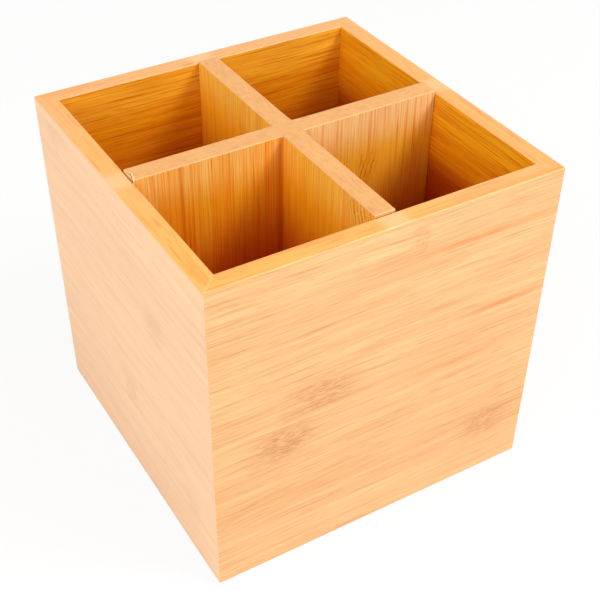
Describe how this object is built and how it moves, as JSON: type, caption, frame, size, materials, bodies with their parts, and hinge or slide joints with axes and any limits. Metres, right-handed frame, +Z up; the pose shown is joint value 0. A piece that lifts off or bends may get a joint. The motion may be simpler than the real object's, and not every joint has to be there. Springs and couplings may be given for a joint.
{
  "type": "cutlery holder",
  "caption": "Square, open-topped bamboo cutlery holder with mitred walls and crossed dividers that make four equal pockets.",
  "frame": {"origin": "centre of the box's footprint, on the surface that it stands on", "axes": "+Z up, front wall facing -Y, +X to the right of someone who faces the front wall"},
  "size_m": [0.152, 0.152, 0.151],
  "materials": {
    "bamboo_walls": "laminated bamboo, sanded, clear satin lacquer, grain along the wall",
    "bamboo_dividers": "laminated bamboo, sanded, clear satin lacquer, grain upright",
    "bamboo_base": "laminated bamboo, sanded, clear satin lacquer"
  },
  "bodies": {
    "root": {"front_wall": "bamboo_walls", "right_wall": "bamboo_walls", "back_wall": "bamboo_walls", "left_wall": "bamboo_walls", "base_panel": "bamboo_base", "divider_left_right": "bamboo_dividers", "divider_front_back": "bamboo_dividers"}
  },
  "joints": []
}
